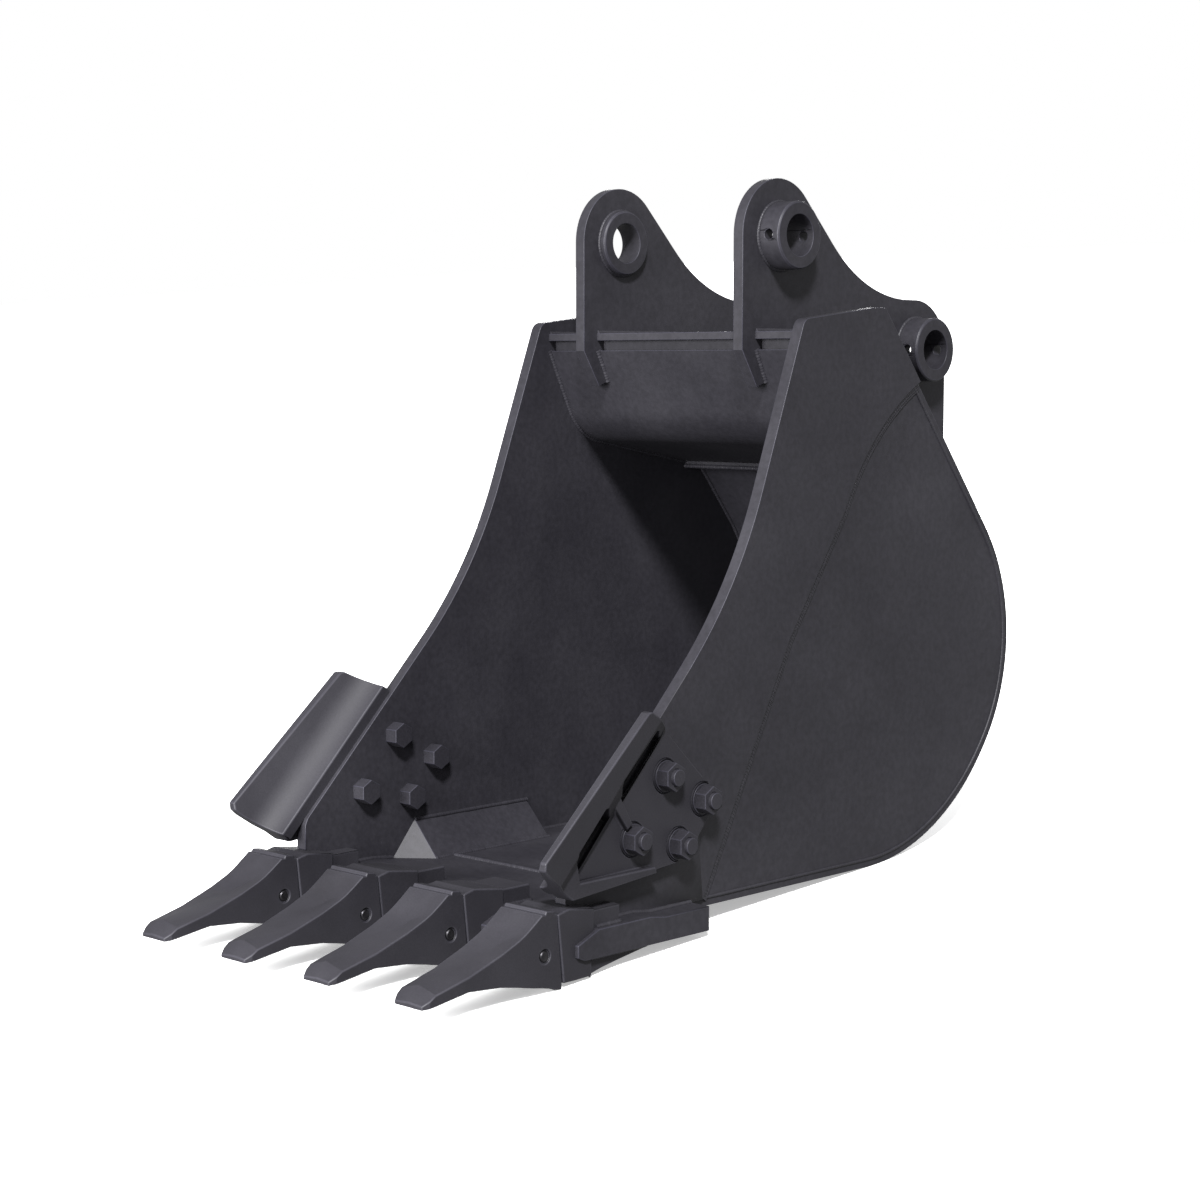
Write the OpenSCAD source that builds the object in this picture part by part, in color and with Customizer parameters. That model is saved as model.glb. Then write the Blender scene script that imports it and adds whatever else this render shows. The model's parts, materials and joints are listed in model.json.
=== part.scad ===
// Excavator digging bucket: welded shell, cutting edge, two pin ears,
// four toothed adapters and two bolted side cutters.
// X runs across the bucket, Y from the tooth tips to the back, Z up.
// The shapes are drawn in the bucket's own frame and laid down by stand(),
// so that the bucket rests on its tooth collars and on the heel of its shell.

/* [Shell and side plates] */
// clear width between the two side plates
inner_width = 670; // [640:1:690]
// thickness of the rolled shell plate
shell_t = 16; // [12:1:18]
// thickness of the thick front part of each side plate
front_plate_t = 25; // [20:1:30]
// thickness of the thin rear part of each side plate
rear_plate_t = 16; // [12:1:18]
// radius of the shell's heel, outside
heel_r = 500; // [490:1:510]
// radius of the shell's back, outside
back_r = 364; // [360:1:368]
// radius of the throat in the side plates' front edge
throat_r = 909; // [860:1:960]

/* [Cutting edge, adapters and teeth] */
// full width of the cutting edge
lip_width = 810; // [800:1:830]
// distance from the middle of the bucket to the inner adapters
adapter_inner_x = 113; // [108:1:118]
// distance from the middle of the bucket to the corner adapters
adapter_corner_x = 345.2; // [344:0.1:347]
// width of an adapter's body
adapter_w = 104; // [98:1:108]
// diameter of the pin that holds a tooth
tooth_pin_d = 20; // [16:1:22]

/* [Pin ears] */
// distance from the middle of the bucket to the middle of an ear plate
ear_x = 209.2; // [200:0.1:216]
// thickness of an ear plate
ear_t = 24; // [20:1:28]
// bore for the dipper pin and for the link pin
pin_bore_d = 80.4; // [70:0.1:90]
// outer diameter of the bosses
boss_d = 130; // [120:1:140]
// how far a right boss, which holds the pin's retaining bolt, stands outward
boss_out = 50; // [40:1:60]
// how far a left boss, which only guides the pin, stands outward
boss_out_plain = 12; // [5:1:20]
// how far a boss stands out from its ear, inward
boss_in = 15; // [10:1:20]
// diameter of the cross hole for the dipper pin's retaining bolt
keeper_d = 20; // [16:1:24]

/* [Side cutter bolts] */
// shank diameter of the bolts
bolt_d = 30; // [24:1:32]
// thickness of the side cutter around its bolts
cutter_base_t = 25; // [22:1:28]
// width across flats of the bolt heads and nuts
bolt_af = 46; // [42:1:50]

/* [Hidden] */
$fn = 96;

steel = [0.24, 0.235, 0.25];
dark = [0.17, 0.17, 0.185];
wear = [0.30, 0.30, 0.33];

side_x = inner_width / 2;
shell_x = side_x + rear_plate_t;
wide = side_x + front_plate_t;
lip_x = lip_width / 2;

// shell path: floor, heel arc, back arc, straight back plate
floor_z = 54;
floor_in = floor_z + shell_t;
heel = [1205, floor_z + heel_r];
heel_a = -34;
back_a = 39.1;
back = heel + (heel_r - back_r) * [cos(heel_a), sin(heel_a)];
up = [-sin(back_a), cos(back_a)];
out = [cos(back_a), sin(back_a)];
back_end = back + back_r * out;
function on_back(depth, z) =
    let (p = back + (back_r - depth) * out) p + up * (z - p[1]) / up[1];
weld_s = 150;
box_top = 1105;
box_plate_t = 16;

// side plate front edge: lower line, throat arc, upper line
low_a = 45.5;
high_a = 69.2;
nose = [350, 171.5];
low_d = [cos(low_a), sin(low_a)];
high_d = [cos(high_a), sin(high_a)];
throat = [803.3, 632.7];
throat_l = throat_r * tan((high_a - low_a) / 2);
throat_1 = throat - throat_l * low_d;
throat_2 = throat + throat_l * high_d;
throat_c = throat_1 + throat_r * [-low_d[1], low_d[0]];
crown_r = 24;
crown_c = [1008, 1104.2];
crown_1 = crown_c + crown_r * [-high_d[1], high_d[0]];
crown_a = 6.55;
crown_2 = crown_c + crown_r * [-sin(crown_a), cos(crown_a)];
seam_c = [1603, 531];
seam_r = 537;

// torque box front plate
box_a = -64.2;
box_d = [cos(box_a), sin(box_a)];
pan_a = -10.45;
pan_d = [cos(pan_a), sin(pan_a)];
box_corner = [1099.4, 893];
box_nose = box_corner + box_d * (1070 - box_corner[1]) / box_d[1];
function pan_at(y) = [y, box_corner[1] + (y - box_corner[0]) * tan(pan_a) - gap];
box_r = 120;
box_l = box_r * tan((pan_a - box_a) / 2);
box_1 = box_corner - box_l * box_d;
box_2 = box_corner + box_l * pan_d;
box_c = box_1 + box_r * [-box_d[1], box_d[0]];

// hair gap between faces that are drawn from different sides
gap = 0.06;

dipper = [1084, 1288];
link = [1526, 1072];
dipper_r = 110;
link_r = 102;

tooth_pin = [265, 48];
tooth_pin_l = 100;

washer_x = side_x + front_plate_t + cutter_base_t - 0.5;
bolt_at = [[577, 317], [677, 263], [492, 215], [612, 190]];

// resting attitude: toe point and heel circle both touch the floor
toe = [305, -16];
toe_to_heel = heel - toe;
rest_a = atan2(toe_to_heel[1], toe_to_heel[0])
    - asin(heel_r / norm(toe_to_heel));
function turned(p) =
    [p[0] * cos(rest_a) + p[1] * sin(rest_a),
     -p[0] * sin(rest_a) + p[1] * cos(rest_a)];
rest_z = -turned(toe)[1];
rest_y = -(turned(back)[0] + back_r + turned([0, 2])[0]) / 2;

module stand() {
    translate([0, rest_y, rest_z]) rotate([-rest_a, 0, 0]) children();
}

// extrude a (Y, Z) outline from x0 to x1
module plate_x(x0, x1) {
    translate([x0, 0, 0]) rotate([90, 0, 90]) linear_extrude(x1 - x0) children();
}

// mirror to the left side when side is -1
module on_side(side) {
    mirror([side < 0 ? 1 : 0, 0, 0]) children();
}

// pin-shaped solid along X at (Y, Z) point p
module bar_x(p, r, x0, x1) {
    translate([x0, p[0], p[1]]) rotate([0, 90, 0]) cylinder(h = x1 - x0, r = r);
}

// ---------- shell ----------

// everything in front of the shell at a given depth below its outer surface
module inside_shell(depth, front_y, top_z) {
    f = floor_z + depth;
    polygon([[front_y, f], [heel[0], f], [1400, 300], [1500, 400],
        back + (back_r - depth) * out, on_back(depth, top_z), [front_y, top_z]]);
    translate(back) circle(back_r - depth);
    intersection() {
        translate(heel) circle(heel_r - depth);
        polygon([[heel[0], 0], heel, heel + 700 * [cos(heel_a), sin(heel_a)],
            [1700, 0]]);
    }
}

module shell_lower() {
    p = back_end + weld_s * up;
    color(steel) stand() plate_x(-shell_x, shell_x) difference() {
        inside_shell(0, 675, 900);
        inside_shell(shell_t, 600, 1300);
        polygon([p + 60 * out, p - 400 * out, p - 400 * out + 500 * up,
            p + 60 * out + 500 * up]);
    }
}

module back_strip(p, q) {
    polygon([p, q, q - shell_t * out, p - shell_t * out]);
}

module shell_upper() {
    p = back_end + weld_s * up;
    q = on_back(0, 1006);
    r0 = on_back(0, box_top - box_plate_t + 1);
    r1 = on_back(shell_t, box_top - box_plate_t + 1);
    color(steel) stand() union() {
        plate_x(-shell_x, shell_x) back_strip(p, q);
        plate_x(-side_x, side_x) polygon([q, r0, r1, q - shell_t * out]);
    }
}

// ---------- side plates ----------

// zone ahead of the step between the thick and the thin plate
module ahead_of_seam() {
    difference() {
        polygon([[300, -50], [642.9, -50], [955, 530], [1120, 765],
            [1240, 830], on_back(0, 1006), on_back(0, 1250), [300, 1250]]);
        translate(seam_c) circle(seam_r);
    }
}

// front part, bounded at the back by the step between the two plates
module front_zone() {
    intersection() {
        ahead_of_seam();
        difference() {
            polygon([[350, 117.4], [383, 112.4], [383, 108], [453, 108],
                [453, 76], [520, 76], [560, floor_in], [760, floor_in],
                [1300, 800], on_back(0, 1006), on_back(0, 1151),
                [1205, 1151], crown_2, crown_c, crown_1, throat_2,
                (throat_1 + throat_2) / 2 - [30, -30], throat_1,
                nose + 8 * low_d, [350, 165]]);
            translate(throat_c) circle(throat_r);
        }
    }
    translate(crown_c) circle(crown_r);
}

module side_plate_front(side) {
    color(steel) stand() on_side(side) difference() {
        plate_x(side_x, wide) front_zone();
        for (p = bolt_at) bar_x(p, bolt_d / 2 + 0.5, side_x - 1, wide + 1);
    }
}
module side_plate_front_left() { side_plate_front(-1); }
module side_plate_front_right() { side_plate_front(1); }

module side_plate_rear(side) {
    color(steel) stand() on_side(side) plate_x(side_x, shell_x) difference() {
        inside_shell(shell_t, 600, 1100);
        ahead_of_seam();
    }
}
module side_plate_rear_left() { side_plate_rear(-1); }
module side_plate_rear_right() { side_plate_rear(1); }

// ---------- cutting edge ----------

module cutting_edge() {
    color(wear) stand() plate_x(-lip_x, lip_x)
        polygon([[336, 33], [353, 26], [675, 25], [675, floor_in],
            [560, floor_in], [520, 76], [388, 76], [336, 55]]);
}

module corner_gusset(side) {
    leg = 66;
    color(steel) stand() on_side(side)
        polyhedron(points = [
            [side_x, 572, floor_in], [side_x, 630, floor_in + 70],
            [side_x - leg, 628, floor_in], [side_x, 942, floor_in],
            [side_x, 942, floor_in + 70], [side_x - leg, 942, floor_in]],
            faces = [[0, 1, 2], [3, 5, 4], [0, 2, 5, 3], [0, 3, 4, 1],
                [1, 4, 5, 2]]);
}
module corner_gusset_left() { corner_gusset(-1); }
module corner_gusset_right() { corner_gusset(1); }

// ---------- torque box ----------

module box_front_plate() {
    n1 = [-box_d[1], box_d[0]];
    n2 = [-pan_d[1], pan_d[0]];
    e1 = box_nose + n1 * box_plate_t;
    in_top = e1 + box_d * (box_nose[1] - e1[1]) / box_d[1];
    in_1 = box_1 + n1 * box_plate_t;
    in_2 = box_2 + n2 * box_plate_t;
    k = in_2 - on_back(shell_t, in_2[1]);
    far = in_2 + pan_d * (-k[0] * out[0]) / (pan_d[0] * out[0] + pan_d[1] * out[1]);
    k0 = box_2 - on_back(shell_t, box_2[1]);
    end = box_2 + pan_d * (-k0[0] * out[0]) / (pan_d[0] * out[0] + pan_d[1] * out[1]);
    color(steel) stand() plate_x(-side_x, side_x) union() {
        polygon([box_nose, box_1, in_1, in_top]);
        difference() {
            polygon([box_1, box_corner, box_2, in_2, box_c, in_1]);
            difference() {
                polygon([box_1, box_corner, box_2, box_c]);
                translate(box_c) circle(box_r);
            }
            translate(box_c) circle(box_r - box_plate_t);
        }
        polygon([box_2, end, far, in_2]);
    }
}

module box_top_plate() {
    color(steel) stand() plate_x(-side_x, side_x)
        polygon([[1012, box_top - 15], on_back(0, box_top - 15),
            on_back(0, box_top), [1012, box_top]]);
}

module box_closing_bar() {
    color(dark) stand() plate_x(-side_x, side_x)
        polygon([[1032.2, 1070], [1042, 1049.8], [1054, 1049.8],
            [1054, box_top - 15], [1032.2, box_top - 15]]);
}

module box_rear_strip() {
    color(steel) stand() plate_x(-side_x, side_x)
        polygon([[1436, 820], on_back(shell_t + gap, 820),
            pan_at(1486.5), pan_at(1436)]);
}

// ---------- ears and bosses ----------

module ear(side) {
    arc_c = [1500, 1527.5];
    arc_r = 353.5;
    t = dipper_r * sqrt(0.5);
    p = dipper + [t, t];
    q = arc_c - arc_r * [sqrt(0.5), sqrt(0.5)];
    rear = link[0] + link_r;
    color(steel) stand() on_side(side) difference() {
        plate_x(ear_x - ear_t / 2, ear_x + ear_t / 2) {
            difference() {
                polygon([[dipper[0] - dipper_r, dipper[1]],
                    [dipper[0] - dipper_r, 1069], [1018, 998],
                    box_nose + box_d * 70 - [gap, gap], box_nose - [gap, 0],
                    box_nose + [0, gap], [1032, 1070 + gap],
                    [1032, box_top - 15], [1012, box_top - 15],
                    [1012, box_top], on_back(-gap, box_top),
                    back_end + gap * out, back,
                    [rear, 600], [rear, link[1]], link,
                    [link[0], link[1] + link_r], [1500, link[1] + link_r],
                    [1450, 1250], q, p, dipper]);
                translate(arc_c) circle(arc_r);
                translate(back) circle(back_r + gap);
                polygon([back, [1640, back[1]], [1640, 610], [1610, 610]]);
            }
            translate(dipper) circle(dipper_r);
            translate(link) circle(link_r);
        }
        bar_x(dipper, boss_d / 2, 0, 400);
        bar_x(link, boss_d / 2, 0, 400);
    }
}
module ear_left() { ear(-1); }
module ear_right() { ear(1); }

module boss(p, side) {
    keeper = side > 0;
    x0 = ear_x - ear_t / 2 - boss_in;
    len = boss_in + ear_t + (keeper ? boss_out : boss_out_plain);
    c = 3;
    r = boss_d / 2;
    b = pin_bore_d / 2;
    color(dark) stand() on_side(side) difference() {
        translate([x0, p[0], p[1]]) rotate([0, 90, 0]) rotate_extrude()
            polygon([[b, 0], [r - c, 0], [r, c], [r, len - c],
                [r - c, len], [b, len]]);
        if (keeper)
            translate([x0 + len - 25, p[0], p[1]]) rotate([90, 0, 0])
                cylinder(h = boss_d + 20, d = keeper_d, center = true);
    }
}
module dipper_boss_left() { boss(dipper, -1); }
module dipper_boss_right() { boss(dipper, 1); }
module link_boss_left() { boss(link, -1); }
module link_boss_right() { boss(link, 1); }

// ---------- adapters and teeth ----------

function tooth_x(i) =
    i == 1 ? -adapter_corner_x : i == 2 ? -adapter_inner_x :
    i == 3 ? adapter_inner_x : adapter_corner_x;

nose_x = 34;

module adapter(i) {
    w = adapter_w / 2;
    leg = w - 6;
    corner = (i == 1 || i == 4);
    heel_y = corner ? 383 : 392;
    heel_top = corner ? 112.4 : 111;
    leg_y = corner ? 453 : 464;
    color(wear) stand() translate([tooth_x(i), 0, 0]) difference() {
        union() {
            plate_x(-w, w) polygon([[294.6, 115], [321, 121], [heel_y, heel_top],
                [heel_y, 74], [336, 55], [336, 33], [353, 26], [377, 26],
                [377, -5], [336, -6], [308.4, -6]]);
            plate_x(-leg, leg) polygon([[heel_y - 1, 76], [leg_y, 76],
                [leg_y, 108], [heel_y - 1, 108]]);
            plate_x(-leg, leg) polygon([[376, 25.9], [527, 25.5], [525, 20],
                [448, 9], [405, 2], [376, -5]]);
            plate_x(-nose_x, nose_x) polygon([[298, 100], [255, 88], [200, 56],
                [200, 22], [309, 8], [309, 100]]);
        }
        plate_x(-w - 1, w + 1) polygon([[336, 33], [353, 26], [675, 25],
            [675, 76], [388, 76], [336, 55]]);
        bar_x(tooth_pin, tooth_pin_d / 2 + 0.4, -nose_x - 1, nose_x + 1);
        bar_x(tooth_pin, 17, nose_x - 10, nose_x + 1);
    }
}
module adapter_1() { adapter(1); }
module adapter_2() { adapter(2); }
module adapter_3() { adapter(3); }
module adapter_4() { adapter(4); }

// cross-section of the tooth at one station: y, half width, side top,
// middle top, bottom
function station(y, w, side_z, mid_z, low_z) = [
    [-w, y, low_z], [w, y, low_z], [w, y, side_z], [0, y, mid_z], [-w, y, side_z]];

module tooth_body() {
    s = adapter_w / 104;
    rows = [
        station(0, 33 * s, 9, 11, 2),
        station(12, 40.5 * s, 17, 26, 4),
        station(24, 42 * s, 25, 35.5, 6),
        station(95, 44.5 * s, 42, 47, 17),
        station(165, 47 * s, 66.5, 60, 12.2),
        station(205, 48.6 * s, 84, 71, 5),
        station(221, 49.4 * s, 93, 79, 1.5),
        station(240, 50 * s, 106, 99, -2.3),
        station(259, 50.6 * s, 120, 121, -5.6)];
    n = len(rows);
    polyhedron(
        points = [for (r = rows) for (p = r) p],
        faces = concat(
            [[4, 3, 2, 1, 0]],
            [for (k = [0:n - 2]) for (f = [
                [0, 1, 6, 5], [1, 2, 6], [2, 7, 6], [2, 3, 7], [3, 8, 7],
                [3, 4, 8], [4, 9, 8], [4, 0, 9], [0, 5, 9]])
                [for (v = f) v + 5 * k]],
            [[for (v = [0, 1, 2, 3, 4]) v + 5 * (n - 1)]]));
}

module tooth(i) {
    w = 50.6 * adapter_w / 104;
    color(dark) stand() translate([tooth_x(i), 0, 0]) difference() {
        union() {
            tooth_body();
            plate_x(-w, w) polygon([[259, -5.6], [280, -10], [289, -14],
                [304.6, -16], [305.8, -6], [294, 115], [292.5, 117], [259, 120]]);
            plate_x(-w, w) polygon([[266, 119], [269, 125], [288, 122.5],
                [290, 116]]);
        }
        plate_x(-nose_x - 2, nose_x + 2) polygon([[320, 102], [298, 102],
            [254, 90], [198, 57.5], [198, 20.5], [254, 13.5], [320, 5]]);
        bar_x(tooth_pin, tooth_pin_d / 2 + 0.06, -w - 10, w + 10);
        bar_x(tooth_pin, tooth_pin_d / 2 + 2.5, w - 4, w + 10);
    }
}
module tooth_1() { tooth(1); }
module tooth_2() { tooth(2); }
module tooth_3() { tooth(3); }
module tooth_4() { tooth(4); }

module tooth_pin(i) {
    r = tooth_pin_d / 2;
    l = tooth_pin_l / 2;
    c = 2;
    color(wear) stand() translate([tooth_x(i) - l, tooth_pin[0], tooth_pin[1]])
        rotate([0, 90, 0]) rotate_extrude()
            polygon([[0, 0], [r - c, 0], [r, c], [r, 2 * l - c],
                [r - c, 2 * l], [0, 2 * l]]);
}
module tooth_pin_1() { tooth_pin(1); }
module tooth_pin_2() { tooth_pin(2); }
module tooth_pin_3() { tooth_pin(3); }
module tooth_pin_4() { tooth_pin(4); }

module tooth_lock(i) {
    color(wear) stand() translate([tooth_x(i), 0, 0]) difference() {
        bar_x(tooth_pin, 16.6, nose_x - 9.8, nose_x - 0.4);
        bar_x(tooth_pin, tooth_pin_d / 2 + 0.06, nose_x - 11, nose_x + 1);
    }
}
module tooth_lock_1() { tooth_lock(1); }
module tooth_lock_2() { tooth_lock(2); }
module tooth_lock_3() { tooth_lock(3); }
module tooth_lock_4() { tooth_lock(4); }

// ---------- side cutters ----------

// outline in the frame of the plate's lower front edge: along it, ahead of it
module along_edge() {
    translate(nose) rotate(low_a) children();
}

module side_cutter(side) {
    a0 = front_plate_t;
    a1 = a0 + cutter_base_t;
    color(dark) stand() on_side(side) difference() {
        intersection() {
            union() {
                plate_x(wide, wide + cutter_base_t) along_edge()
                    polygon([[-90, -240], [-90, 6], [340, 6], [340, -240]]);
                translate([side_x, nose[0], nose[1]])
                    rotate([low_a - 90, 0, 0]) translate([0, 0, -80])
                    linear_extrude(420) difference() {
                        polygon([[9, 0], [9, -60], [90, -130], [90, -106],
                            [80, -45], [a1 - 1, 6], [a0 + 1, 6], [a0 + 1, 0]]);
                        translate([-10.3, -94.5]) circle(75);
                        polygon([[60.2, -69], [90, -151], [-90, -151],
                            [-90, -69]]);
                    }
                plate_x(wide + 2, side_x + 66) along_edge()
                    polygon([[-90, 24], [-90, -60], [100, -180], [124, -140],
                        [-10, -4], [6, 24]]);
                plate_x(wide + 2, side_x + 62) along_edge()
                    polygon([[139, 24], [126, -60], [140, -64], [159, 24]]);
            }
            plate_x(side_x + 1, side_x + 100) along_edge()
                polygon([[-42, -12], [-58, 84], [-58, 100], [-48, 110],
                    [294, 84], [302, 78], [322, 10], [325, -165],
                    [305, -205], [215, -212], [165, -192]]);
        }
        intersection() {
            plate_x(side_x + 20, side_x + 101) along_edge() {
                polygon([[14, -2], [6, 8], [8, 36], [18, 47], [112, 47],
                    [120, 38], [116, -2]]);
                polygon([[168, -2], [164, 8], [168, 36], [176, 45],
                    [292, 34], [300, 24], [296, -2]]);
            }
            translate([side_x, nose[0], nose[1]]) rotate([low_a - 90, 0, 0])
                linear_extrude(310) polygon([[38, 3], [30, -10], [46, -25],
                    [60, -48], [110, -48], [110, 3]]);
        }
        for (p = bolt_at) {
            bar_x(p, bolt_d / 2 + 0.5, side_x - 1, side_x + 99);
            bar_x(p, bolt_af / 2 + 8, side_x + a1 - 0.5, side_x + 120);
        }
    }
}
module side_cutter_left() { side_cutter(-1); }
module side_cutter_right() { side_cutter(1); }

module cutter_bolts(side) {
    head_h = 30;
    end = wide + cutter_base_t + 35;
    color(wear) stand() on_side(side) for (p = bolt_at) union() {
        translate([side_x - head_h, p[0], p[1]]) rotate([0, 90, 0])
            cylinder(h = head_h, d = (bolt_af - 3) / cos(30), $fn = 6);
        bar_x(p, bolt_d / 2, side_x - 1, end);
    }
}
module cutter_bolts_left() { cutter_bolts(-1); }
module cutter_bolts_right() { cutter_bolts(1); }

module cutter_washers(side) {
    color(wear) stand() on_side(side) for (p = bolt_at) difference() {
        bar_x(p, bolt_af / 2 + 5, washer_x, washer_x + 4);
        bar_x(p, bolt_d / 2 + 0.5, wide + 20, wide + 35);
    }
}
module cutter_washers_left() { cutter_washers(-1); }
module cutter_washers_right() { cutter_washers(1); }

module cutter_nuts(side) {
    color(wear) stand() on_side(side) for (p = bolt_at) difference() {
        translate([washer_x + 4, p[0], p[1]]) rotate([0, 90, 0])
            cylinder(h = 24, d = bolt_af / cos(30), $fn = 6);
        bar_x(p, bolt_d / 2 + 0.3, wide + 20, wide + 60);
    }
}
module cutter_nuts_left() { cutter_nuts(-1); }
module cutter_nuts_right() { cutter_nuts(1); }

// ---------- drawing ----------
shell_lower();
shell_upper();
side_plate_front_left();
side_plate_front_right();
side_plate_rear_left();
side_plate_rear_right();
cutting_edge();
corner_gusset_left();
corner_gusset_right();
box_front_plate();
box_top_plate();
box_closing_bar();
box_rear_strip();
ear_left();
ear_right();
dipper_boss_left();
dipper_boss_right();
link_boss_left();
link_boss_right();
adapter_1();
adapter_2();
adapter_3();
adapter_4();
tooth_1();
tooth_2();
tooth_3();
tooth_4();
tooth_pin_1();
tooth_pin_2();
tooth_pin_3();
tooth_pin_4();
tooth_lock_1();
tooth_lock_2();
tooth_lock_3();
tooth_lock_4();
side_cutter_left();
side_cutter_right();
cutter_bolts_left();
cutter_bolts_right();
cutter_washers_left();
cutter_washers_right();
cutter_nuts_left();
cutter_nuts_right();
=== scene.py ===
# %% [markdown]
# # Excavator bucket
# A digging bucket is mostly flame-cut and rolled steel plate, welded, with cast teeth in front
# and a coat of dark satin paint over everything. The frame holds every plate at its true size.
# This script dresses it: each plate gets softened edges, the welds are laid along the joints,
# and every surface gets a paint or metal that is worked out from how it was made.

import json
import math

import bmesh
import bpy
from mathutils import Matrix, Vector
from mathutils.bvhtree import BVHTree


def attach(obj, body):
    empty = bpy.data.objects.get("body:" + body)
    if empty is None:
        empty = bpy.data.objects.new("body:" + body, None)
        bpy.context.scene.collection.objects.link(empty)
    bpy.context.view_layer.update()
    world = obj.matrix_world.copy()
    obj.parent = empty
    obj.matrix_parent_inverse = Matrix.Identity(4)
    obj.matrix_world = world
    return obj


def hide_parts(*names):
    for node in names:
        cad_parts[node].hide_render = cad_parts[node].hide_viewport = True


MM = 0.001
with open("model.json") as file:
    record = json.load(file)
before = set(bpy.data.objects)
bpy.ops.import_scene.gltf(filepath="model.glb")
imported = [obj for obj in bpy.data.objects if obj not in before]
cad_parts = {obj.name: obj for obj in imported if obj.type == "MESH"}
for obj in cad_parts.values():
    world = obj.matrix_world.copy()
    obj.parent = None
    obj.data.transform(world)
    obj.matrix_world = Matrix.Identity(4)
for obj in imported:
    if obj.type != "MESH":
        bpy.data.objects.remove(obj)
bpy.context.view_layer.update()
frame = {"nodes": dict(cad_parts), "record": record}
nodes = frame["nodes"]

# %% [markdown]
# The bucket rests on its teeth and its heel, so its own straight floor is leaned a few degrees.
# Its drawing is easier to read in its own axes: Y back from the tooth tips, Z up from them, in
# millimetres. The two pin bores tell how the drawing lies in the frame: the angle between
# them gives the lean and the front one gives the shift back and up. It gives no shift
# sideways: the right bosses are longer, so a bore's middle lies off the bucket's middle plane.

# %% The bucket's own axes
mounts = {m["name"]: Vector(m["pos_m"]) for m in frame["record"]["mounts"]}
DIPPER = Vector((0, 1084, 1288))
LINK = Vector((0, 1526, 1072))
drawn = (LINK - DIPPER) * MM
placed = mounts["link_pin_bore"] - mounts["dipper_pin_bore"]
LEAN = math.atan2(placed.z, placed.y) - math.atan2(drawn.z, drawn.y)
lean_matrix = Matrix.Rotation(LEAN, 4, "X")
front_bore = mounts["dipper_pin_bore"]
to_frame = Matrix.Translation((0, front_bore.y, front_bore.z)) @ lean_matrix
to_frame = to_frame @ Matrix.Translation(-DIPPER * MM)


def place(x, y, z):
    """A point of the bucket's drawing, in mm, as a point of the frame, in m."""
    return to_frame @ (Vector((x, y, z)) * MM)


print("lean:", round(math.degrees(LEAN), 2), "degrees")

# %% [markdown]
# Colours are picked as sRGB hex values, as a paint chart gives them, and the shader wants
# linear light, so one function turns one into the other. Another small function adds a node,
# sets its values and links its inputs, which keeps each material short enough to read.

# %% Colour and node helpers
def paint(hex_colour):
    """An sRGB hex colour as linear RGBA."""
    out = []
    for k in (1, 3, 5):
        c = int(hex_colour[k:k + 2], 16) / 255
        out.append(c / 12.92 if c <= 0.04045 else ((c + 0.055) / 1.055) ** 2.4)
    return (*out, 1.0)


def add(tree, kind, links=None, values=None, **settings):
    """Add a node; links and values are keyed by input name or index."""
    node = tree.nodes.new(kind)
    for name, value in settings.items():
        setattr(node, name, value)
    for key, value in (values or {}).items():
        node.inputs[key].default_value = value
    for key, socket in (links or {}).items():
        tree.links.new(socket, node.inputs[key])
    return node


def ramp(tree, factor, stops):
    """A colour ramp with (position, colour) stops."""
    node = add(tree, "ShaderNodeValToRGB", {"Fac": factor})
    band = node.color_ramp
    band.elements[0].position, band.elements[0].color = stops[0]
    band.elements[1].position, band.elements[1].color = stops[-1]
    for position, colour in stops[1:-1]:
        band.elements.new(position).color = colour
    return node.outputs["Color"]


print("mid grey in linear light:", round(paint("#808080")[0], 4))

# %% [markdown]
# ## The paint
# The whole bucket is sprayed with one coat of charcoal satin alkyd paint, about 60 micrometres
# thick. It is a dielectric whose IOR starts at the typical 1.5 and is lowered a little, because
# its flatting agent dulls the skin. What changes from part to part is the steel
# underneath: rolled plate is nearly smooth, with faint mill waves some 80 mm long; castings keep
# the grain of the sand mould, near 1.5 mm; weld beads are smooth and catch more light. The spray
# leaves an orange peel of about 3 mm. Edges take a thinner coat, and their paint is drawn lighter
# as a painted highlight, for the light that the rounded edges catch. So one function
# builds the paint, and each steel gives it its own grain size, grain height and tint.

# %% Paint over steel
PEEL = 3 * MM
MILL_WAVE = 80 * MM
CLOUD = 260 * MM
PAINT_IOR = 1.34


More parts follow.
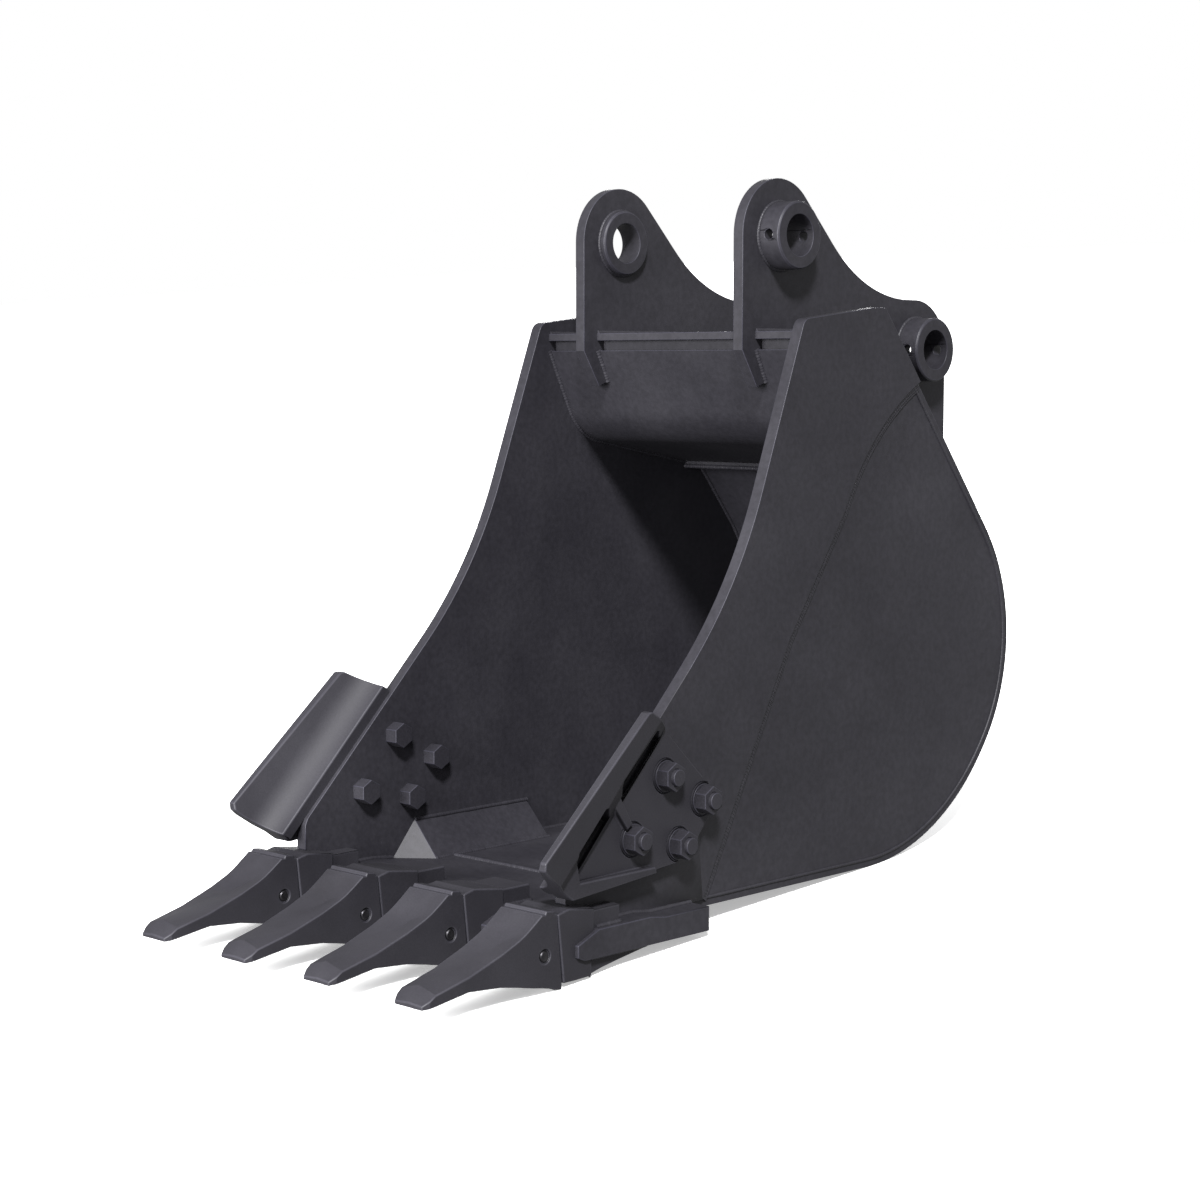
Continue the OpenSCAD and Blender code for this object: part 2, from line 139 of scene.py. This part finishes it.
def painted_steel(name, base, pale, dark, grain, height, rough):
    """Satin alkyd paint over a steel with grain of the given size and height, in m."""
    material = bpy.data.materials.new(name)
    material.use_nodes = True
    tree = material.node_tree
    shader = tree.nodes["Principled BSDF"]
    at = add(tree, "ShaderNodeTexCoord").outputs["Object"]
    cloud = add(tree, "ShaderNodeTexNoise", {"Vector": at},
                {"Scale": 1 / CLOUD, "Detail": 5.0, "Roughness": 0.6}).outputs["Fac"]
    fine = add(tree, "ShaderNodeTexNoise", {"Vector": at},
               {"Scale": 1 / grain, "Detail": 3.0, "Roughness": 0.65}).outputs["Fac"]
    peel = add(tree, "ShaderNodeTexNoise", {"Vector": at},
               {"Scale": 1 / PEEL, "Detail": 1.0}).outputs["Fac"]
    wave = add(tree, "ShaderNodeTexNoise", {"Vector": at},
               {"Scale": 1 / MILL_WAVE, "Detail": 2.0}).outputs["Fac"]
    tone = ramp(tree, cloud, [(0.3, paint(dark)), (0.5, paint(base)), (0.72, paint(pale))])
    speck = ramp(tree, fine, [(0.35, (0.8, 0.8, 0.8, 1)), (0.65, (1.06, 1.06, 1.06, 1))])
    colour = add(tree, "ShaderNodeMix", {6: tone, 7: speck}, {0: 1.0},
                 data_type="RGBA", blend_type="MULTIPLY")
    tree.links.new(colour.outputs[2], shader.inputs["Base Color"])
    gloss = add(tree, "ShaderNodeMapRange", {"Value": cloud},
                {"From Min": 0.3, "From Max": 0.7, "To Min": rough - 0.05, "To Max": rough + 0.07})
    tree.links.new(gloss.outputs["Result"], shader.inputs["Roughness"])
    low = add(tree, "ShaderNodeBump", {"Height": wave},
              {"Strength": 0.25, "Distance": 0.6 * MM})
    mid = add(tree, "ShaderNodeBump", {"Height": fine, "Normal": low.outputs["Normal"]},
              {"Strength": 0.6, "Distance": height})
    top = add(tree, "ShaderNodeBump", {"Height": peel, "Normal": mid.outputs["Normal"]},
              {"Strength": 0.3, "Distance": 0.08 * MM})
    tree.links.new(top.outputs["Normal"], shader.inputs["Normal"])
    shader.inputs["IOR"].default_value = PAINT_IOR
    return material


rolled_plate = painted_steel("painted_rolled_plate", "#26252a", "#2b2a2f", "#212025",
                             12 * MM, 0.10 * MM, 0.50)
# The edge paints are lighter than the face paints: a painted highlight on the rounded edges.
plate_edge_with_highlight = painted_steel("painted_plate_edge_highlight", "#2c2b33", "#33323a", "#26252c",
                         5 * MM, 0.12 * MM, 0.44)
cast_steel = painted_steel("painted_sand_casting", "#242328", "#29282d", "#1f1e22",
                           2.5 * MM, 0.35 * MM, 0.54)
casting_edge_with_highlight = painted_steel("painted_casting_edge_highlight", "#2d2c32", "#333238", "#27262b",
                          2.5 * MM, 0.30 * MM, 0.48)
weld_bead = painted_steel("painted_weld_bead", "#28272c", "#2d2c31", "#232227",
                          6 * MM, 0.10 * MM, 0.44)
fastener = painted_steel("painted_forged_fastener", "#252429", "#2a292e", "#201f24",
                         4 * MM, 0.12 * MM, 0.46)
print("paints:", [m.name for m in bpy.data.materials if m.name.startswith("painted")])

# %% [markdown]
# The tooth pins and their locks aren't painted. A pin is hardened steel, turned, so its marks run
# round its axis, and it is dull from handling. The bores of the bosses keep the plate's paint
# here.
# Rings round the X axis come from the distance along X, drawn coarser than the real 0.2 mm feed
# so that they show. A wave texture's band is 0.31 wide at a scale of 1.

# %% Bare steel
TURNING = 1.2 * MM
BAND = 0.31


def turned_steel(name, base, pale):
    """Dull bare steel with turning marks round the X axis."""
    material = bpy.data.materials.new(name)
    material.use_nodes = True
    tree = material.node_tree
    shader = tree.nodes["Principled BSDF"]
    at = add(tree, "ShaderNodeTexCoord").outputs["Object"]
    rings = add(tree, "ShaderNodeTexWave", {"Vector": at},
                {"Scale": BAND / TURNING, "Distortion": 0.4, "Detail": 1.0},
                bands_direction="X").outputs["Fac"]
    stain = add(tree, "ShaderNodeTexNoise", {"Vector": at},
                {"Scale": 60.0, "Detail": 6.0}).outputs["Fac"]
    tone = ramp(tree, stain, [(0.35, paint(base)), (0.7, paint(pale))])
    tree.links.new(tone, shader.inputs["Base Color"])
    gloss = add(tree, "ShaderNodeMapRange", {"Value": stain},
                {"From Min": 0.3, "From Max": 0.7, "To Min": 0.34, "To Max": 0.55})
    tree.links.new(gloss.outputs["Result"], shader.inputs["Roughness"])
    bump = add(tree, "ShaderNodeBump", {"Height": rings},
               {"Strength": 0.2, "Distance": 0.05 * MM})
    tree.links.new(bump.outputs["Normal"], shader.inputs["Normal"])
    shader.inputs["Metallic"].default_value = 1.0
    return material


bare_steel = turned_steel("turned_bare_steel", "#3a393c", "#4f4e51")
print("bare steel:", bare_steel.name)

# %% [markdown]
# ## Plates and castings
# Each solid of the frame has the right outline but razor edges. A real flame-cut plate has its
# edges dressed to about 1.5 mm, and a casting has radii of 3 mm and more. The outline is
# copied from the frame, its loose triangles are merged and its flat faces joined up, and
# a Bevel modifier rounds what turns by more than 35 degrees. The bevel's faces take the
# lighter edge paint, a painted highlight. The copy replaces the frame's node, and lies inside it
# everywhere.
#
# An edge that lies against another plate is a welded joint, which nobody dresses, so a lookup
# tree of all the other solids leaves those edges out: they get no bevel weight.

# %% Dress one node
MERGE = 0.02 * MM
FLAT = math.radians(0.1)
TURN = math.radians(35)
CREASE = math.radians(14)
TOUCH = 0.3 * MM


def lookup(node):
    """One search tree over every solid but this one."""
    corners, triangles = [], []
    for name, other in nodes.items():
        if name != node:
            first = len(corners)
            corners += [v.co.copy() for v in other.data.vertices]
            triangles += [[first + i for i in p.vertices] for p in other.data.polygons]
    return BVHTree.FromPolygons(corners, triangles)


def dress(node, radius, steps, face, edge, body="bucket", crease=CREASE):
    """A merged copy of a node's mesh with rounded edges, in place of the node."""
    others = lookup(node)
    mesh = bpy.data.meshes.new(node + "_skin")
    work = bmesh.new()
    work.from_mesh(nodes[node].data)
    bmesh.ops.remove_doubles(work, verts=work.verts, dist=MERGE)
    bmesh.ops.dissolve_limit(work, angle_limit=FLAT, verts=work.verts, edges=work.edges)
    for f in work.faces:
        f.smooth = True
        f.material_index = 0
    weight = work.edges.layers.float.new("bevel_weight_edge")
    for e in work.edges:
        angle = e.calc_face_angle(0) if len(e.link_faces) == 2 else 0
        e.smooth = angle <= crease
        middle = (e.verts[0].co + e.verts[1].co) / 2
        joined = others.find_nearest(middle, TOUCH)[0] is not None
        e[weight] = 1.0 if angle > TURN and not joined else 0.0
    work.to_mesh(mesh)
    work.free()
    mesh.materials.clear()
    mesh.materials.append(face)
    mesh.materials.append(edge)
    piece = bpy.data.objects.new(node + "_skin", mesh)
    bpy.context.scene.collection.objects.link(piece)
    bevel = piece.modifiers.new("dressed edge", "BEVEL")
    bevel.width = radius * MM
    bevel.segments = steps
    bevel.limit_method = "WEIGHT"
    bevel.use_clamp_overlap = False
    bevel.harden_normals = True
    # The bevel's faces take the second, lighter paint: a painted highlight along the edges.
    bevel.material = 1
    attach(piece, body)
    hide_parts(node)


print("rounds edges that turn by more than", round(math.degrees(TURN)), "degrees")

# %% [markdown]
# The same call dresses every node; what differs is the radius its edges are worked to, and
# which paint it carries. Plates are grouped by how they were made.

# %% Dress the plates and castings
PLATES = ["shell_lower", "shell_upper", "side_plate_front_left", "side_plate_front_right",
          "side_plate_rear_left", "side_plate_rear_right", "corner_gusset_left",
          "corner_gusset_right", "box_front_plate", "box_top_plate", "box_closing_bar",
          "box_rear_strip", "ear_left", "ear_right"]
for name in PLATES:
    dress(name, 1.4, 2, rolled_plate, plate_edge_with_highlight)
dress("cutting_edge", 2.0, 2, rolled_plate, plate_edge_with_highlight)
for name in ("dipper_boss_left", "dipper_boss_right", "link_boss_left", "link_boss_right"):
    dress(name, 1.2, 2, rolled_plate, plate_edge_with_highlight)
for k in (1, 2, 3, 4):
    dress(f"adapter_{k}", 3.0, 3, cast_steel, casting_edge_with_highlight)
    dress(f"tooth_{k}", 2.4, 3, cast_steel, casting_edge_with_highlight, crease=math.radians(22))
    dress(f"tooth_lock_{k}", 0.8, 2, bare_steel, bare_steel)
    dress(f"tooth_pin_{k}", 0.5, 2, bare_steel, bare_steel, f"tooth_pin_{k}")
for side in ("left", "right"):
    dress(f"side_cutter_{side}", 3.0, 3, cast_steel, casting_edge_with_highlight)
    # The fasteners' rounded edges take the lighter plate edge paint, a painted highlight.
    dress(f"cutter_bolts_{side}", 1.5, 2, fastener, plate_edge_with_highlight)
    dress(f"cutter_washers_{side}", 0.8, 2, fastener, plate_edge_with_highlight)
    dress(f"cutter_nuts_{side}", 1.5, 2, fastener, plate_edge_with_highlight)

# %% [markdown]
# ## Welds
# The plates are joined by fillet welds, laid by hand or robot in overlapping puddles, so a bead
# is a rounded ridge with a ripple every few millimetres. A bead follows a path, which is what
# Geometry Nodes are good at: the path becomes a curve, is resampled finely, its radius swells
# and shrinks along its length, and a small circle is swept along it. The rear half of each
# bead is sunk in the corner it fills.

# %% The bead tree
def bead_tree():
    """Geometry Nodes that sweep a rippled bead along a wire."""
    tree = bpy.data.node_groups.new("weld_bead", "GeometryNodeTree")
    face = tree.interface
    face.new_socket("Geometry", in_out="INPUT", socket_type="NodeSocketGeometry")
    for name, value in (("Radius", 5 * MM), ("Step", 1.8 * MM), ("Ripple", 6 * MM)):
        socket = face.new_socket(name, in_out="INPUT", socket_type="NodeSocketFloat")
        socket.default_value = value
    seed = face.new_socket("Seed", in_out="INPUT", socket_type="NodeSocketFloat")
    seed.default_value = 1.0
    face.new_socket("Geometry", in_out="OUTPUT", socket_type="NodeSocketGeometry")
    given = tree.nodes.new("NodeGroupInput").outputs
    curve = add(tree, "GeometryNodeMeshToCurve", {"Mesh": given["Geometry"]})
    fine = add(tree, "GeometryNodeResampleCurve",
               {"Curve": curve.outputs["Curve"], "Length": given["Step"]}, mode="LENGTH")
    along = add(tree, "GeometryNodeSplineParameter").outputs["Length"]
    beat = add(tree, "ShaderNodeMath", {0: along, 1: given["Ripple"]}, operation="DIVIDE")
    saw = add(tree, "ShaderNodeMath", {0: beat.outputs[0]}, operation="FRACT")
    swell = add(tree, "ShaderNodeMapRange", {"Value": saw.outputs[0]},
                {"To Min": 1.06, "To Max": 0.88})
    where = add(tree, "GeometryNodeInputPosition").outputs["Position"]
    drift = add(tree, "ShaderNodeTexNoise", {"Vector": where, "W": given["Seed"]},
                {"Scale": 25.0}, noise_dimensions="4D")
    hand = add(tree, "ShaderNodeMapRange", {"Value": drift.outputs["Fac"]},
               {"From Min": 0.3, "From Max": 0.7, "To Min": 0.9, "To Max": 1.1})
    both = add(tree, "ShaderNodeMath",
               {0: swell.outputs["Result"], 1: hand.outputs["Result"]}, operation="MULTIPLY")
    size = add(tree, "ShaderNodeMath", {0: both.outputs[0], 1: given["Radius"]},
               operation="MULTIPLY")
    ring = add(tree, "GeometryNodeCurvePrimitiveCircle", None, {"Resolution": 10, "Radius": 1.0})
    radius = add(tree, "GeometryNodeSetCurveRadius",
                 {"Curve": fine.outputs["Curve"], "Radius": size.outputs[0]})
    swept = add(tree, "GeometryNodeCurveToMesh",
                {"Curve": radius.outputs["Curve"], "Profile Curve": ring.outputs["Curve"]},
                {"Fill Caps": True})
    if "Scale" in swept.inputs:
        read = add(tree, "GeometryNodeInputRadius").outputs["Radius"]
        tree.links.new(read, swept.inputs["Scale"])
    real = add(tree, "GeometryNodeRealizeInstances", {"Geometry": swept.outputs["Mesh"]})
    coat = add(tree, "GeometryNodeSetMaterial", {"Geometry": real.outputs["Geometry"]},
               {"Material": weld_bead})
    last = tree.nodes.new("NodeGroupOutput")
    tree.links.new(coat.outputs["Geometry"], last.inputs["Geometry"])
    return tree


weld_tree = bead_tree()
print("bead tree nodes:", len(weld_tree.nodes))

# %% [markdown]
# A weld piece is a list of paths in the bucket's own axes. They become one wire mesh, the tree
# is run on it, and the result is kept as a plain mesh.

# %% Lay beads along paths
def lay_beads(name, paths, radius, seed):
    """One weld piece: beads of a radius in mm along paths in the bucket's own axes."""
    wire = bpy.data.meshes.new(name + "_wire")
    points, edges = [], []
    for path in paths:
        first = len(points)
        points += [place(*p) for p in path]
        edges += [(k, k + 1) for k in range(first, len(points) - 1)]
    wire.from_pydata(points, edges, [])
    guide = bpy.data.objects.new(name + "_guide", wire)
    bpy.context.scene.collection.objects.link(guide)
    run = guide.modifiers.new("bead", "NODES")
    run.node_group = weld_tree
    keys = {s.name: s.identifier for s in weld_tree.interface.items_tree
            if s.in_out == "INPUT"}
    run[keys["Radius"]] = radius * MM
    run[keys["Seed"]] = float(seed)
    bpy.context.view_layer.update()
    ready = guide.evaluated_get(bpy.context.evaluated_depsgraph_get())
    mesh = bpy.data.meshes.new_from_object(ready)
    bpy.data.objects.remove(guide)
    mesh.name = name
    for p in mesh.polygons:
        p.use_smooth = True
    piece = bpy.data.objects.new(name, mesh)
    bpy.context.scene.collection.objects.link(piece)
    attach(piece, "bucket")
    print(name, "faces:", len(mesh.polygons))


def arc(centre, r, start, end, steps=24):
    """(y, z) points of an arc, angles in degrees from +Y towards +Z."""
    out = []
    for k in range(steps + 1):
        a = math.radians(start + (end - start) * k / steps)
        out.append((centre[0] + r * math.cos(a), centre[1] + r * math.sin(a)))
    return out


def at_x(x, outline):
    """A (y, z) outline at one x."""
    return [(x, y, z) for y, z in outline]


print("a full circle has", len(arc((0, 0), 1, 0, 360)), "points")

# %% [markdown]
# The outlines are those the plates are cut to: the shell runs from the cutting edge round the
# heel and the back, then straight up to the top plate.

# %% Outlines the welds follow
SHELL_T = 16
HEEL, HEEL_R = (1205, 554), 500
BACK_R = 364
HEEL_END, BACK_END = -34, 39.1
BACK = (HEEL[0] + (HEEL_R - BACK_R) * math.cos(math.radians(HEEL_END)),
        HEEL[1] + (HEEL_R - BACK_R) * math.sin(math.radians(HEEL_END)))


def back_at(depth, z):
    """The point at height z on the straight back, at a depth below its outer face."""
    a = math.radians(BACK_END)
    y0 = BACK[0] + (BACK_R - depth) * math.cos(a)
    z0 = BACK[1] + (BACK_R - depth) * math.sin(a)
    return (y0 - math.tan(a) * (z - z0), z)


def shell_path(depth, top):
    """The shell's outline at a depth below its outer face, up to the height top."""
    path = [(680, 54 + depth)] + arc(HEEL, HEEL_R - depth, -90, HEEL_END, 40)
    return path + arc(BACK, BACK_R - depth, HEEL_END, BACK_END, 40) + [back_at(depth, top)]


seam = [(709, 72), (955, 530), (1120, 765)]
seam += arc((1603, 531), 537, 154.2, 118.0)
box_front = [(1014, 1070)] + arc((1180.9, 1000.1), 120, 205.8, 259.6, 12) + [(1476, 823.6)]
print("seam points:", len(seam), "shell points:", len(shell_path(0, 1000)))

# %% [markdown]
# Where the beads go: along the step between the two side plates, along the shell's edge outside
# and inside, round the torque box, along both faces of each ear, round each boss, and round the
# adapters' legs.

# %% All the welds
INNER_X, THIN_X, THICK_X = 335, 351, 360
EAR_X, EAR_T = 209.2, 24
BORES = [(c.y, c.z) for c in (DIPPER, LINK)]
BOSS_R, LEG_HALF = 65, 46
both = (-1, 1)


def beside(path, shift):
    """The path moved sideways, towards the back of the bucket."""
    out = []
    for k, (y, z) in enumerate(path):
        y0, z0 = path[max(k - 1, 0)]
        y1, z1 = path[min(k + 1, len(path) - 1)]
        run = math.hypot(y1 - y0, z1 - z0)
        out.append((y + shift * (z1 - z0) / run, z - shift * (y1 - y0) / run))
    return out


for number, (shift, size) in enumerate(((2, 6.8), (9, 5.0), (15, 3.2))):
    lay_beads(f"weld_plate_step_{number + 1}",
              [at_x(s * THIN_X, beside(seam, shift)) for s in both], size, 20 + number)
lay_beads("weld_shell_edge", [at_x(s * THIN_X, shell_path(SHELL_T, 990)) for s in both], 3.2, 2)
lay_beads("weld_shell_inside",
          [at_x(s * INNER_X, shell_path(SHELL_T, 815)) for s in both], 5.5, 3)
lay_beads("weld_box",
          [at_x(s * INNER_X, box_front) for s in both]
          + [at_x(s * INNER_X, [(1016, 1105), (1274, 1105)]) for s in both]
          + [[(-333, 1436, 820), (333, 1436, 820)], [(-333, 1487, 820), (333, 1487, 820)]], 5, 4)
ear_foot = [(1044, 1008), (1014, 1070)]
ear_back = [(1013, 1105), back_at(0, 1105), back_at(0, 708)] + arc(BACK, BACK_R, BACK_END, 31.6, 4)
faces = [s * (EAR_X + t * EAR_T / 2) for s in both for t in both]
lay_beads("weld_ears", [at_x(x, p) for x in faces for p in (ear_foot, ear_back)], 6, 5)


def ring(x, centre, r):
    """A full circle round a bore, at one x."""
    return at_x(x, arc(centre, r, 0, 360, 48))


lay_beads("weld_bosses", [ring(x, c, BOSS_R) for x in faces for c in BORES], 4.5, 6)
ADAPTERS = {1: -345.2, 2: -113, 3: 113, 4: 345.2}
leg_paths = []
for k, x in ADAPTERS.items():
    end = 453 if k in (1, 4) else 464
    for start, stop, z in ((392, end, 77), (380, 520, 25)):
        leg_paths.append([(x - LEG_HALF, start, z), (x - LEG_HALF, stop, z),
                          (x + LEG_HALF, stop, z), (x + LEG_HALF, start, z)])
lay_beads("weld_adapters", leg_paths, 5, 7)
lay_beads("weld_cutting_edge",
          [[(-350, 676, 70), (350, 676, 70)], [(-350, 676, 54), (350, 676, 54)]]
          + [[(s * THICK_X, 456, 77), (s * THICK_X, 520, 77), (s * THICK_X, 560, 71),
              (s * THICK_X, 672, 71)] for s in both]
          + [[(s * INNER_X, 400, 77), (s * INNER_X, 520, 77), (s * INNER_X, 570, 71)]
             for s in both], 5, 8)
lay_beads("weld_gussets",
          [[(s * 269, 628, 70), (s * 269, 942, 70)] for s in both]
          + [[(s * INNER_X, 630, 140), (s * INNER_X, 942, 140)] for s in both], 4.5, 9)

# %% [markdown]
# ## Light and floor
# The floor is a translucent white table lit a little from below, which keeps the shadows on
# it pale. It throws no light back at the bucket, whose underside stays dark.

# %% Floor
def white_floor():
    """The pale table that the bucket stands on."""
    material = bpy.data.materials.new("white_studio_floor")
    material.use_nodes = True
    shader = material.node_tree.nodes["Principled BSDF"]
    shader.inputs["Base Color"].default_value = (0.93, 0.93, 0.93, 1)
    shader.inputs["Roughness"].default_value = 0.9
    shader.inputs["Emission Color"].default_value = (1, 1, 1, 1)
    shader.inputs["Emission Strength"].default_value = 0.4
    mesh = bpy.data.meshes.new("studio_floor")
    reach = 60.0
    mesh.from_pydata([(-reach, -reach, 0), (reach, -reach, 0), (reach, reach, 0),
                      (-reach, reach, 0)], [], [(0, 1, 2, 3)])
    mesh.materials.append(material)
    floor = bpy.data.objects.new("studio_floor", mesh)
    floor.visible_diffuse = False
    floor.visible_glossy = False
    bpy.context.scene.collection.objects.link(floor)


white_floor()
print("floor laid at z = 0")

# %% [markdown]
# A dark satin object shows its form through its shading, so what surrounds it stays dimmer
# than the backdrop it is seen against: white light from all round would lift every outward
# face to one grey. The world is therefore white to look at and only half as bright to be
# lit by. A Light Path node tells the two apart.

# %% World
FILL, BACKDROP = 0.5, 1.0
world = bpy.data.worlds.new("studio")
world.use_nodes = True
sky = world.node_tree
fill = sky.nodes["Background"]
fill.inputs["Color"].default_value = (1, 1, 1, 1)
fill.inputs["Strength"].default_value = FILL
backdrop = add(sky, "ShaderNodeBackground", None,
               {"Color": (1, 1, 1, 1), "Strength": BACKDROP})
seen = add(sky, "ShaderNodeLightPath").outputs["Is Camera Ray"]
studio = add(sky, "ShaderNodeMixShader", {0: seen, 1: fill.outputs[0], 2: backdrop.outputs[0]})
sky.links.new(studio.outputs[0], sky.nodes["World Output"].inputs["Surface"])
bpy.context.scene.world = world
print("world: backdrop", BACKDROP, "fill", FILL)

# %% [markdown]
# The key is a broad soft source, high on the right, so far off that it lights the whole table
# evenly: it drops the shadows of the bolt heads down the left plate. A large dim panel
# straight ahead lifts the ear edges, the box front and the tips of the teeth. A weaker one
# behind on the left keeps the back of the shell from going flat when it is seen from there.

# %% Lights
TARGET = Vector((0, 0, 0.5))
LAMP_REACH = 6
PANEL_SIZE = 3.0
KEY_FROM = Vector((0.52, -0.50, 0.69)).normalized()
FRONT_FROM = Vector((0.05, -0.97, 0.25)).normalized()
BACK_FROM = Vector((-0.58, 0.80, 0.15)).normalized()


def lamp(name, kind, start, energy):
    """A light at start that points at the bucket."""
    data = bpy.data.lights.new(name, kind)
    data.energy = energy
    light = bpy.data.objects.new(name, data)
    light.location = start
    light.rotation_euler = (TARGET - start).to_track_quat("-Z", "Y").to_euler()
    bpy.context.scene.collection.objects.link(light)
    return data


key = lamp("key", "SUN", TARGET + LAMP_REACH * KEY_FROM, 7.0)
key.angle = math.radians(8)
front = lamp("front", "AREA", TARGET + LAMP_REACH * FRONT_FROM, 820)
back = lamp("back", "AREA", TARGET + LAMP_REACH * BACK_FROM, 300)
for panel in (front, back):
    panel.shape = "DISK"
    panel.size = PANEL_SIZE
print("lights:", key.energy, front.energy, back.energy)

# %% [markdown]
# The picture keeps the plain Standard transform, so that the white studio stays white and the
# satin paint keeps its depth.

# %% Transform
bpy.context.scene.view_settings.view_transform = "Standard"
print("view transform:", bpy.context.scene.view_settings.view_transform)

# %% [markdown]
# The camera looks at the front right corner, a little downward, from about four metres away,
# through a 73.5 mm lens. It is level with the bucket's own floor, so it leans with it.

# %% Camera
EYE = (3256.8, -2600.7, 1035.8)
LENS_MM, SENSOR_MM = 73.473, 36
AROUND, DOWN = math.radians(43.648), math.radians(5.423)
ahead = Vector((-math.sin(AROUND) * math.cos(DOWN), math.cos(AROUND) * math.cos(DOWN),
                -math.sin(DOWN)))
right = Vector((math.cos(AROUND), math.sin(AROUND), 0))
above = right.cross(ahead)
turn = Matrix((right, above, -ahead)).transposed().to_4x4()
lens = bpy.data.cameras.new("camera")
lens.sensor_width = SENSOR_MM
lens.lens = LENS_MM
camera = bpy.data.objects.new("camera", lens)
camera.matrix_world = Matrix.Translation(place(*EYE)) @ lean_matrix @ turn
bpy.context.scene.collection.objects.link(camera)
bpy.context.scene.camera = camera
print("camera at", [round(v, 3) for v in camera.matrix_world.translation])
